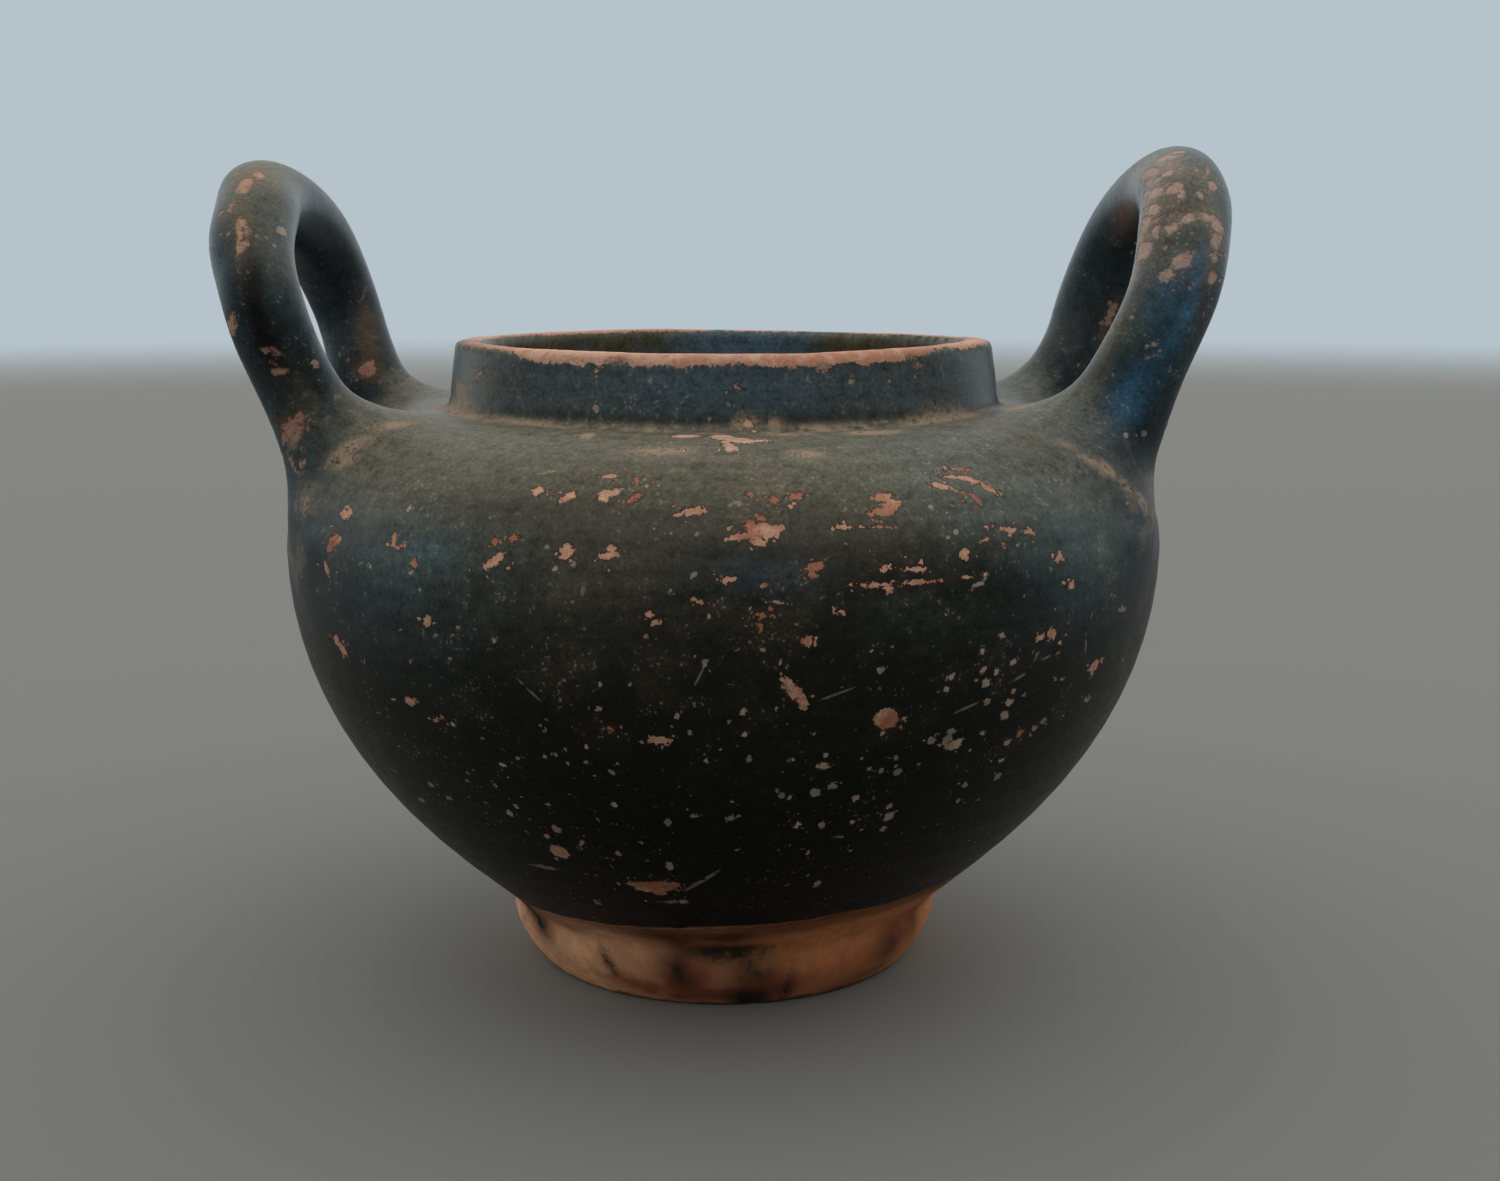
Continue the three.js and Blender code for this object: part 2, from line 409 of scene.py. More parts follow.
# Marks that show in the picture, each placed by the pixel where it shows: across, down, half its length,
# half its width, and its tilt in degrees unless it is level. Dots have only a radius.
marks = {
    "flakes": {  # bare clay where the gloss has come off
        "star": [
            (760, 532, 17, 8.5, 4), (742, 536, 14, 3.6, 14), (750, 524, 6.5, 5, 50), (773, 530, 9, 5, 8),
            (759, 542, 8, 4.5, -10), (760, 519, 3.8, 2, 10),
        ],
        "hook": [
            (884, 497, 9, 4.6, 10), (893, 505, 7.5, 6.5), (881, 512, 12.6, 4.2, 4), (889, 509, 6, 6),
        ],
        "underHook": [
            (877, 527, 10, 1.3), (843, 527, 7, 1.8),
        ],
        "rightArcs": [
            (952, 477, 12, 1.7, -4), (972, 480, 12, 2.1, -18), (988, 488, 12, 2.3, -30),
            (940, 486, 10, 3, -12), (958, 491, 10, 1.5, -22), (974, 497, 8, 1.5, -40), (956, 469, 8, 1.5),
        ],
        "leftBelt": [
            (346, 513, 5.6, 5), (335, 540, 7.5, 5.5, 20), (330, 547, 5, 3, 60), (327, 569, 8, 2, -70),
            (538, 491, 5.5, 4.5, 60), (495, 560, 12, 4.2, 42), (487, 566, 5, 4, 20),
            (514, 538, 4.6, 3.4, 20), (495, 541, 3.6, 2.8, 80), (394, 539, 9, 2.2, 80),
            (399, 548, 2.8, 2.6), (414, 562, 5, 3.6, 60),
        ],
        "middleBelt": [
            (610, 493, 12, 3.6, 8), (604, 497, 6, 4.6), (635, 498, 9, 3.6, 28), (637, 481, 3.6, 3.4, 80),
            (612, 476, 11, 1.6, 4), (694, 511, 14, 3.8, 6), (680, 514, 4.4, 2.2), (566, 552, 8.5, 6.5, 60),
            (609, 555, 12, 3.6, 6), (611, 549, 5, 4, -10), (774, 500, 5, 3.4), (796, 496, 11, 3.4, 5),
            (749, 494, 3, 2.2), (815, 567, 10, 4.6, 12), (812, 573, 5, 4, -60), (568, 497, 10, 4, 35),
        ],
        "underBelt": [
            (726, 580, 8, 3.6), (761, 615, 8, 1.7, -4), (760, 623, 6, 1.5, 90), (763, 586, 3.2, 2.2),
            (698, 602, 4.6, 2.2, -20), (840, 612, 4.6, 2.4, 10), (649, 615, 4.6, 3.6, -20),
            (656, 623, 3.6, 3.2), (807, 642, 5.8, 5.6),
        ],
        "rightStreaks": [
            (883, 569, 3.6, 3.4, 40), (916, 569, 9, 3), (922, 582, 18, 1.8, 4), (877, 585, 18, 1.8, -2),
            (889, 589, 5, 3, 10), (964, 553, 4.2, 3.8, 60), (967, 577, 5.5, 1.9), (1011, 530, 6, 2.6),
            (1028, 532, 6, 2.8, 15), (1001, 529, 3, 2.2), (993, 526, 3.4, 2), (1003, 544, 3, 2),
            (987, 539, 2.6, 2), (1059, 557, 5, 2.6, 60), (1072, 585, 5, 2.4, 80),
        ],
        "rightBelly": [
            (1052, 634, 6, 4.8, 60), (1040, 637, 4.4, 3, 20), (1095, 665, 6.5, 3.6, 40),
            (1101, 660, 3.4, 1.6, 35), (1020, 733, 3.8, 3, 30),
        ],
        "longOne": [
            (789, 687, 11, 7, -52), (795, 693, 9, 7, -52), (802, 700, 7.5, 5, -60), (803, 707, 3.6, 2.8),
        ],
        "roundOne": [
            (887, 719, 12, 10.5), (880, 722, 6, 5, -30),
        ],
        "leftBelly": [
            (337, 641, 5, 3.2, -50), (342, 648, 8, 3, -52), (427, 621, 5, 3.4, 60), (410, 702, 4.8, 4.2),
            (436, 720, 4.2, 2, 8), (659, 740, 10.5, 4, -2), (611, 729, 4, 2.8, -20),
        ],
        "aboveFoot": [
            (656, 887, 22, 5.4, 3), (642, 885, 14, 3, -6), (672, 885, 9, 3, 4), (659, 892, 7, 3.4),
            (560, 852, 9.5, 5.6, -12),
        ],
        "collar": [
            (737, 387, 5, 2.2, -25), (597, 371, 3.6, 3), (822, 367, 5.5, 3.6, 10), (916, 365, 3.4, 2.8),
            (479, 374, 7, 2, 45),
        ],
        "collarFoot": [
            (722, 437, 10, 5, 6), (728, 445, 8, 4, -48), (732, 449, 7, 3.4, -10), (738, 440, 16, 3, -6),
            (756, 441, 12, 1.6, 4), (686, 436, 14, 2.6, 2), (748, 424, 5, 3),
        ],
        "leftHandle": [
            (245, 185, 8.5, 7, 75), (259, 175, 6, 3.4), (232, 204, 6, 3, 80), (241, 224, 6, 5, 60),
            (240, 241, 18, 3.2, 88), (246, 237, 8, 2.4, 85), (231, 324, 8, 5.4, 75),
            (277, 353, 6, 4.4, -20), (279, 371, 5, 3.2, 10), (275, 363, 3, 2.6), (292, 428, 11, 8, 30),
            (302, 419, 7, 5, 40), (284, 436, 6, 4, 60), (291, 462, 9, 2, -62), (366, 369, 10, 7, 20),
        ],
        "rightHandle": [
            (1148, 174, 9, 6, 20), (1155, 193, 7, 5.6), (1168, 173, 4.6, 4.4), (1166, 158, 10, 3, 10),
            (1148, 183, 5, 4), (1143, 163, 6, 3, 30), (1178, 152, 7, 2), (1147, 193, 4, 3.6),
            (1207, 172, 6, 2.4, 70), (1156, 220, 3, 2.6), (1140, 238, 6, 3, 75), (1174, 188, 7, 6.6),
            (1180, 197, 5, 3.6), (1152, 210, 6, 5.6), (1156, 232, 6, 4, 80), (1145, 225, 10, 4, 75),
            (1201, 196, 3.8, 3.6), (1213, 186, 7, 5, 60), (1171, 228, 9, 4.6, 25), (1187, 219, 13, 3.8, 22),
            (1207, 217, 11, 4.4, -10), (1218, 226, 9, 5, -75), (1216, 242, 8, 3.8, 80),
            (1214, 258, 6, 2.8, 80), (1212, 278, 8, 4.6, 70), (1182, 260, 13, 8, 30), (1166, 275, 9, 6, 20),
            (1143, 250, 11, 6, 70), (1154, 344, 4, 3.4), (1157, 355, 4, 2.4), (1111, 314, 14, 3.6, 62),
        ],
    },
    "pale": {  # beige and grey spots where lime from the soil still sits
        "ring": [
            (951, 732, 5, 4.2, 20), (947, 741, 8.5, 5, 80), (954, 745, 9, 4.6, 8), (960, 741, 4.6, 3.8),
            (932, 741, 5, 4, 20), (938, 736, 3, 2.6), (940, 745, 4, 2.6),
        ],
        "lowMiddle": [
            (824, 766, 8.5, 3.4, 6), (826, 762, 4.5, 3.6, 30), (815, 792, 6.6, 4.8, 25),
            (833, 786, 6, 3.4, 22), (731, 818, 7.2, 3.8, 28), (695, 816, 4.5, 2.2),
            (705, 664, 5.2, 3.4, 60), (776, 602, 8, 1.8, -10), (838, 837, 5.4, 1.5),
        ],
        "lowLeft": [
            (544, 867, 16, 1.5, -11), (671, 902, 12, 1.4), (683, 902, 6, 2), (582, 843, 6, 3, 70),
            (549, 472, 10, 1.6, 8), (978, 585, 8, 3, 25), (985, 577, 5, 2.4, 60),
        ],
        "beltDots": [
            (410, 508, 3), (360, 564, 2.4), (370, 566, 2.4), (388, 559, 2.2), (420, 590, 2.6),
            (411, 572, 3.2), (547, 547, 3), (573, 564, 2.8), (555, 569, 3.2), (577, 598, 2.4),
            (572, 602, 2.2), (647, 486, 2), (671, 533, 1.8), (697, 534, 2.6), (671, 591, 3),
            (693, 575, 3.8), (749, 609, 2.2), (709, 617, 2.4), (931, 508, 3.6), (948, 537, 2.2),
            (956, 532, 2.4), (980, 541, 2), (1019, 544, 2.8), (1051, 569, 2.4),
        ],
        "bellyDots": [
            (436, 636, 2.4), (452, 635, 2.4), (459, 628, 2.6), (362, 662, 2.6), (410, 661, 2.4),
            (451, 661, 2.4), (493, 640, 3.4), (762, 649, 2.4), (646, 636, 2.6), (880, 670, 3.6),
            (872, 651, 2.2), (780, 662, 2.6), (786, 667, 2.2), (783, 674, 2), (776, 709, 2.2),
            (743, 712, 3.6), (744, 734, 3.6), (813, 733, 2.4), (904, 719, 2.6), (883, 734, 2.6),
            (600, 685, 2.6), (630, 684, 2.2), (599, 709, 3), (677, 716, 3.8), (690, 733, 3),
            (429, 687, 2.2), (454, 725, 3), (544, 729, 2.2), (619, 736, 2),
        ],
        "rightDots": [
            (987, 702, 3.6), (951, 677, 3.8), (947, 689, 3.2), (986, 683, 4.6), (983, 670, 3.6),
            (996, 672, 3.8), (983, 733, 3), (998, 776, 3.8), (1062, 679, 2.8), (1056, 679, 2.4),
            (1002, 636, 3.6), (982, 651, 3.4), (1014, 662, 3.6), (1014, 691, 3.2), (1010, 702, 4.8),
            (1005, 715, 4.6), (1043, 721, 2.8), (1035, 728, 3), (1007, 742, 3.2), (1002, 760, 2.8),
            (965, 785, 2.4), (959, 801, 2.8), (919, 765, 2.8), (1123, 609, 4), (1088, 699, 3.2),
        ],
        "lowDots": [
            (503, 765, 3.2), (555, 754, 2.6), (545, 757, 2.6), (564, 750, 2.4), (586, 747, 2.4),
            (568, 764, 2.8), (586, 762, 2.2), (518, 758, 1.8), (468, 781, 2.2), (496, 786, 2.2),
            (431, 785, 2.8), (421, 800, 3), (449, 798, 3), (612, 772, 3.6), (614, 805, 3.8),
            (548, 804, 2.6), (509, 813, 3.6), (516, 806, 2.4), (556, 829, 4), (547, 836, 2.6),
            (618, 853, 2.8), (670, 866, 4.4), (668, 822, 4), (597, 902, 2.8), (826, 755, 2.6),
            (790, 761, 3), (749, 760, 3.2), (707, 761, 2.6), (790, 797, 3), (782, 796, 3.4),
            (778, 790, 2.4), (855, 798, 3.4), (732, 802, 2.4), (896, 757, 3), (870, 769, 2.6),
            (881, 771, 2.8), (897, 772, 4), (889, 807, 2.6), (889, 817, 4.6), (883, 829, 3.2),
            (852, 822, 2.8), (822, 825, 4), (798, 825, 4), (808, 853, 2.6), (817, 884, 3.4),
        ],
        "collarDots": [
            (596, 408, 3.8), (676, 414, 3), (709, 419, 2.6), (852, 382, 3.4), (889, 381, 2.4),
            (728, 405, 2.4),
        ],
        "handleDots": [
            (1165, 248, 1.8), (1144, 434, 2.8), (1126, 435, 2.8), (275, 246, 2.6), (281, 231, 5),
            (315, 363, 4),
        ],
    },
    "scratches": {
        "all": [
            (529, 690, 17, 1.1, -44), (837, 694, 19, 1.1, 20), (1034, 660, 9.5, 1.6, 62),
            (1018, 678, 10.5, 1.3, 31), (1053, 655, 13, 1.5, 22), (1089, 621, 10, 1.1, 66),
            (1086, 642, 12, 0.9, 88), (966, 708, 14, 1.2, 24), (702, 881, 21, 1.8, 30),
            (699, 677, 15, 1.1, 63), (583, 589, 7, 2.4, 80),
        ],
    },
    "dust": {  # tan soil that has stayed in the corners
        "collarFoot": [
            (797, 434, 28, 4, 1), (872, 432, 35, 4, 2), (940, 420, 28, 3.6, 12), (588, 435, 7, 4),
            (540, 425, 60, 2.4, -7), (461, 396, 12, 9, 80), (456, 411, 16, 7, -20), (748, 422, 7, 3.6, 5),
            (774, 424, 5, 3.6, 10), (649, 431, 6, 2.6), (806, 454, 14, 3), (661, 451, 30, 4, 2),
            (1020, 407, 18, 6, 10),
        ],
        "handleFoot": [
            (350, 447, 17, 4, 32), (394, 425, 18, 4, 10), (343, 462, 8, 4, 20), (294, 440, 9, 5, 60),
            (306, 503, 12, 4, 70), (1067, 445, 8, 2.8, -25), (1088, 460, 11, 3, -22),
            (1109, 471, 12, 4, -35), (1127, 487, 12, 4, -44), (1143, 503, 12, 4, -55),
        ],
    },
    "stains": {  # thin gloss that ran or was smudged onto the bare clay
        "lip": [
            (577, 359, 9, 2.2), (615, 363, 8, 3.4), (934, 358, 10, 1.6),
        ],
        "foot": [
            (724, 951, 30, 5.5), (748, 949, 9, 5, 10), (608, 962, 9, 2.4, -55), (616, 973, 4, 2.4, -20),
            (786, 990, 8, 3, 70), (750, 1002, 18, 4),
        ],
    },
}

# Soft tints in the gloss and on the foot, placed in the same way, with their strength last. The grey, teal
# and blue ones paint sheen and reflections of the bright backdrop, the dark ones paint shade, and the olive,
# warm, beige and foot ones are stains.
tints = {
    "greySheen": [
        (585, 580, 110, 48, 0.3), (590, 640, 120, 45, 0.1), (1000, 478, 60, 26, 0.4),
        (865, 476, 60, 22, 0.35), (1088, 500, 30, 30, 0.45), (720, 590, 200, 40, 0.1),
        (345, 490, 40, 34, 0.25), (1160, 240, 26, 36, 75, 0.4), (292, 235, 8, 40, 78, 0.35),
        (1190, 230, 34, 28, 0.45), (1200, 285, 30, 14, 75, 0.25), (290, 250, 40, 5, 100, 0.4),
        (1195, 322, 24, 14, 70, 0.22), (1090, 290, 34, 18, 60, 0.12), (1000, 500, 56, 18, 0.45),
        (925, 472, 50, 16, 0.35), (450, 578, 60, 24, 0.14),
    ],
    "tealReflection": [
        (412, 562, 70, 42, 0.42), (400, 620, 70, 50, 0.2), (1095, 555, 40, 50, 0.45),
        (560, 388, 70, 22, 0.3), (1135, 330, 30, 14, 65, 0.35), (221, 270, 12, 50, 96, 0.45),
        (1190, 252, 26, 14, 0.35), (1000, 505, 70, 24, 0.25), (930, 470, 60, 20, 0.2),
        (920, 620, 70, 30, 0.1),
    ],
    "sheen": [
        (1199, 266, 26, 7, 76, 1.0), (1188, 310, 28, 8, 72, 0.9), (1170, 345, 24, 13, 60, 0.55),
        (1133, 394, 34, 20, 60, 0.8), (1165, 300, 36, 18, 75, 0.4), (728, 388, 90, 22, 0.3),
        (760, 575, 50, 20, 0.15), (425, 548, 30, 20, 0.15),
    ],
    "olive": [
        (1112, 336, 44, 8, 62, 0.75), (1092, 388, 18, 12, 60, 0.55), (300, 395, 44, 16, 120, 0.4),
        (640, 475, 240, 22, 0.3), (380, 440, 60, 24, 20, 0.35), (245, 215, 40, 10, 95, 0.3),
        (268, 172, 36, 16, 0.5), (478, 376, 24, 30, 0.5),
    ],
    "warm": [
        (368, 335, 30, 9, 100, 0.45), (368, 368, 11, 11, 0.6), (1126, 210, 26, 10, 72, 0.5),
        (1108, 318, 26, 5, 72, 0.5), (255, 176, 16, 9, 0.5), (243, 232, 34, 8, 92, 0.45),
        (287, 425, 14, 12, 0.4), (1160, 200, 30, 30, 0.3),
    ],
    # painted shade on the gloss, mostly on the handles and their roots
    "dark": [
        (262, 330, 74, 16, 112, 0.85), (254, 274, 44, 14, 100, 0.65), (1158, 440, 24, 16, 60, 0.5),
        (1140, 470, 12, 20, 0.4), (390, 350, 12, 40, 15, 0.3), (1000, 376, 36, 30, 0.4),
        (310, 360, 60, 12, 112, 0.3), (262, 190, 26, 20, 0.25), (1196, 174, 20, 12, 0.35),
        (1182, 208, 24, 6, 10, 0.4), (1186, 240, 20, 8, 20, 0.3), (508, 505, 74, 20, 0.42),
        (660, 520, 70, 16, 0.15), (820, 505, 50, 14, 0.14),
    ],
    "beige": [
        (1160, 164, 36, 12, 0.6), (1150, 200, 40, 11, 80, 0.55), (1184, 262, 26, 14, 30, 0.2),
        (1216, 236, 40, 8, 86, 0.5), (1195, 214, 30, 10, 0.4), (1135, 272, 26, 7, 75, 0.45),
        (470, 400, 24, 14, 70, 0.3),
    ],
    "footRed": [
        (700, 938, 90, 12, 1.0), (900, 928, 34, 16, 60, 1.0), (680, 976, 50, 24, 0.8),
        (765, 984, 50, 20, 0.8), (540, 915, 20, 10, -50, 0.5), (860, 960, 50, 16, 25, 0.5),
        (526, 902, 24, 12, -70, 0.9), (705, 996, 80, 7, 1.0), (645, 986, 50, 6, -12, 0.9),
    ],
    "footDark": [
        (722, 974, 24, 20, 0.3), (620, 958, 22, 18, 0.2), (674, 966, 24, 24, 0.5), (724, 951, 42, 8, 0.85),
        (757, 972, 24, 20, 0.75), (752, 997, 28, 8, 0.9), (788, 988, 12, 8, 0.5), (684, 978, 12, 12, 0.45),
        (888, 944, 22, 12, 64, 0.55), (912, 924, 12, 16, 60, 0.45), (608, 962, 13, 5, -55, 0.6),
        (540, 922, 24, 9, -56, 0.9), (700, 938, 70, 6, 0.55), (860, 977, 40, 6, 22, 0.5),
        (800, 950, 60, 8, 8, 0.2), (575, 930, 40, 7, -24, 0.25),
    ],
}

# How marks are placed and what is added where the picture doesn't show the pot
placing = {
    "slots": {"flakes": 2, "pale": 1, "dust": 1, "stains": 1, "scratches": 1},  # marks kept by each face
    "crumbs": {"flakes": 3, "pale": 1},  # small bits that came off beside each mark
    "crumbSize": (0.5, 1.9), "crumbSpread": 5,  # pixels of the picture
    "crumbFlatness": 0.6,  # how far they spread up and down, against sideways
    "specks": (520, 0.05, 0.3),  # how many tiny spots are all over, and their half lengths from and to
    "reach": 2.6,  # how far beyond a mark the faces around it still know of it
    "longest": 3.0,  # how much a mark may stretch where the surface turns away
    "turned": 0.2,  # how far a face may turn away from a mark that it still knows of
    "tiltSpread": 0.5, "width": (0.35, 0.95), "scratchWidth": 0.09,  # of marks that aren't from the picture
    "hiddenFrom": 14, "specksFrom": 12,  # heights below which none of them are placed
    "overlap": 0.5,  # how much of the weaker one shows where two tints overlap
    "seed": 11,
    "hidden": {  # how many marks the sides that don't show get, with half lengths from and to
        "flakes": (46, 0.3, 1.5), "pale": (120, 0.2, 0.65),
        "dust": (10, 0.6, 2.2), "scratches": (10, 0.9, 2.0),
    },
}


def seenMark(surface, across, down, long, wide=None, tilt=0):
    # where a mark of the picture lies on the pot, the way the surface faces there, and the mark's half axes
    start = Vector(view["at"])
    spot, facing, _, distance = surface.ray_cast(start, sightLine(across, down))
    if spot is None:
        return None
    turn = math.radians(tilt)
    axes = []
    for half, angle in ((long, turn), (wide or long, turn + math.pi / 2)):
        aim = sightLine(across + half * math.cos(angle), down - half * math.sin(angle))
        axis = start + aim * ((spot - start).dot(facing) / aim.dot(facing)) - spot
        most = placing["longest"] * half * distance / view["pixelsToDistance"]
        axes.append(axis * min(1, most / axis.length))
    axes[1] -= axes[0] * axes[1].dot(axes[0]) / axes[0].length_squared
    return spot, facing, *axes


def hiddenMarks(kind, centres, facings, draw):
    # marks of the same kinds scattered over the sides that the camera doesn't see
    away = ((centres - np.array(view["at"])) * facings).sum(1) > 0
    outward = (facings[:, :2] * centres[:, :2]).sum(1) > 0
    rows = np.flatnonzero(away & outward & (centres[:, 2] > placing["hiddenFrom"]))
    return scattered(kind, centres, facings, rows, placing["hidden"][kind], draw)


def scattered(kind, centres, facings, rows, amount, draw):
    # marks at random places of those faces, mostly small
    count, smallest, largest = amount
    found = []
    for row in draw.choice(rows, count, replace=False):
        facing = Vector(facings[row])
        level = Vector((0, 0, 1)).cross(facing).normalized()
        turn = draw.normal(0, placing["tiltSpread"])
        long = level * math.cos(turn) + facing.cross(level) * math.sin(turn)
        half = smallest + (largest - smallest) * draw.random() ** 3
        share = draw.uniform(*placing["width"]) if kind != "scratches" else placing["scratchWidth"]
        found.append((Vector(centres[row]), facing, long * half, facing.cross(long) * half * share))
    return found


def crumbs(mark, count, draw):
    # tiny dots at random places around a mark of the picture
    across, down, half = mark[:3]
    for _ in range(count):
        turn = draw.uniform(0, 2 * math.pi)
        away = half + draw.exponential(placing["crumbSpread"])
        smallest, largest = placing["crumbSize"]
        size = smallest + (largest - smallest) * draw.random() ** 2
        yield across + away * math.cos(turn), down + placing["crumbFlatness"] * away * math.sin(turn), size


def shareMarks(mesh, kind, found, centres, facings):
    # each face keeps the marks of this kind that are nearest to it, so that the paint can measure from them
    slots = placing["slots"][kind]
    nearest = np.full((slots, len(centres)), 1e6)
    chosen = np.full((slots, len(centres)), len(found))
    for number, (spot, facing, long, wide) in enumerate(found):
        spot, facing, long, wide = (np.array(vector) for vector in (spot, facing, long, wide))
        offset = centres - spot
        near = (offset**2).sum(1) < (np.linalg.norm(long) + placing["reach"]) ** 2
        rows = np.flatnonzero(near & (facings @ facing > placing["turned"]))
        offset = offset[rows]
        gap = np.hypot(offset @ long / (long @ long), offset @ wide / (wide @ wide)) - 1
        gap *= np.linalg.norm(wide)
        carried = np.full(len(rows), number)
        for slot in range(slots):
            closer = gap < nearest[slot, rows]
            held, heldGap = chosen[slot, rows], nearest[slot, rows]
            chosen[slot, rows] = np.where(closer, carried, held)
            nearest[slot, rows] = np.where(closer, gap, heldGap)
            carried, gap = np.where(closer, held, carried), np.where(closer, heldGap, gap)
    # a mark far below the pot stands in where none is near
    none = (Vector((0, 0, -1000)), None, Vector((0, 0, 1)), Vector((0, 0, 1)))
    table = [*found, none]
    lists = {
        "At": [mark[0] for mark in table],
        "Long": [mark[2] / mark[2].length_squared for mark in table],
        "Wide": [mark[3] / mark[3].length_squared for mark in table],
    }
    for slot in range(slots):
        for name, vectors in lists.items():
            values = np.array(vectors, np.float32)[chosen[slot]]
            attribute = mesh.attributes.new(f"{kind}{slot}{name}", "FLOAT_VECTOR", "FACE")
            attribute.data.foreach_set("vector", values.ravel())


def markPot(mesh, vertices, quads):
    # stores the marks with the faces and the tints with the vertices
    corners = vertices[quads]
    centres = corners.mean(1)
    facings = np.cross(corners[:, 2] - corners[:, 0], corners[:, 3] - corners[:, 1])
    facings /= np.linalg.norm(facings, axis=1)[:, None]
    surface = BVHTree.FromPolygons([tuple(v) for v in vertices], quads.tolist())
    draw = np.random.default_rng(placing["seed"])
    for kind, groups in marks.items():
        seen = [mark for group in groups.values() for mark in group]
        seen += [crumb for mark in seen for crumb in crumbs(mark, placing["crumbs"].get(kind, 0), draw)]
        found = [seenMark(surface, *mark) for mark in seen]
        found = [mark for mark in found if mark]
        if kind in placing["hidden"]:
            found += hiddenMarks(kind, centres, facings, draw)
        if kind == "pale":
            outward = (facings[:, :2] * centres[:, :2]).sum(1) > 0
            rows = np.flatnonzero(outward & (centres[:, 2] > placing["specksFrom"]))
            found += scattered(kind, centres, facings, rows, placing["specks"], draw)
        shareMarks(mesh, kind, found, centres, facings)
        report(f"{len(found)} {kind}")
    normals = np.empty(len(vertices) * 3)
    mesh.vertex_normals.foreach_get("vector", normals)
    normals = normals.reshape(-1, 3)
    for name, places in tints.items():
        amount = np.zeros(len(vertices))
        for *mark, strength in places:
            seen = seenMark(surface, *mark)
            if not seen:
                continue
            spot, facing, long, wide = (np.array(vector) for vector in seen)
            offset = vertices - spot
            span = (offset @ long / (long @ long)) ** 2 + (offset @ wide / (wide @ wide)) ** 2
            depth = offset @ facing / np.linalg.norm(long)
            near = strength * np.exp(-span - depth**2) * np.clip(normals @ facing * 2, 0, 1)
            amount = np.maximum(amount, near) + placing["overlap"] * np.minimum(amount, near)
        attribute = mesh.attributes.new(name, "FLOAT", "POINT")
        attribute.data.foreach_set("value", np.clip(amount, 0, 1).astype(np.float32))
    report("tints")


def buildPot():
    vertices, quads = surfaceNet(making["boxLow"], making["boxHigh"], making["cell"])
    report(f"surface of {len(quads)} quads")
    vertices = relaxed(vertices, quads, making["relaxing"])
    report("relaxed")
    outside, hollow, handle = field(vertices, parts=True)
    vertices[:, 2] = np.maximum(vertices[:, 2], 0)
    mesh = bpy.data.meshes.new("pyxisClay")
    mesh.from_pydata(vertices * mm, [], quads)
    mesh.update()
    measures = {
        "within": np.clip(0.5 - (np.minimum(outside, handle) + hollow) / making["innerOver"], 0, 1),
        "handle": handle,
        "seam": np.exp(-((np.abs(outside) + np.abs(handle)) / making["seamReach"]) ** 2),
        "track": trackAlong(vertices),
    }
    for name, values in measures.items():
        attribute = mesh.attributes.new(name, "FLOAT", "POINT")
        attribute.data.foreach_set("value", values.astype(np.float32))
    markPot(mesh, vertices, quads)
    mesh.polygons.foreach_set("use_smooth", np.ones(len(mesh.polygons), bool))
    pot = bpy.data.objects.new("pyxisPot", mesh)
    bpy.context.scene.collection.objects.link(pot)
    return pot


class Wire:
    # an output of a node. Sums with it add Math nodes, so masks are written as plain arithmetic.
    def __init__(self, paint, socket):
        self.paint = paint
        self.socket = socket

    def other(self, name):
        return Wire(self.paint, self.socket.node.outputs[name])

    def math(self, operation, *values):
        return self.paint.node("Math", {"operation": operation}, dict(enumerate(values)))

    def __add__(self, value):
        return self.math("ADD", self, value)

    def __radd__(self, value):
        return self.math("ADD", value, self)

    def __sub__(self, value):
        return self.math("SUBTRACT", self, value)

    def __rsub__(self, value):
        return self.math("SUBTRACT", value, self)

    def __mul__(self, value):
        return self.math("MULTIPLY", self, value)

    def __rmul__(self, value):
        return self.math("MULTIPLY", value, self)

    def __truediv__(self, value):
        return self.math("DIVIDE", self, value)

    def __rtruediv__(self, value):
        return self.math("DIVIDE", value, self)

    def __pow__(self, value):
        return self.math("POWER", self, value)

    def least(self, value):
        return self.math("MINIMUM", self, value)

    def most(self, value):
        return self.math("MAXIMUM", self, value)

    def size(self):
        return self.math("ABSOLUTE", self)

    def fade(self, start, end):
        # 0 up to the start and 1 from the end on, with a soft step between. It falls where start > end.
        low, high, first = (start, end, 0) if start < end else (end, start, 1)
        inputs = {"Value": self, "From Min": low, "From Max": high, "To Min": first, "To Max": 1 - first}
        return self.paint.node("MapRange", {"interpolation_type": "SMOOTHSTEP"}, inputs)


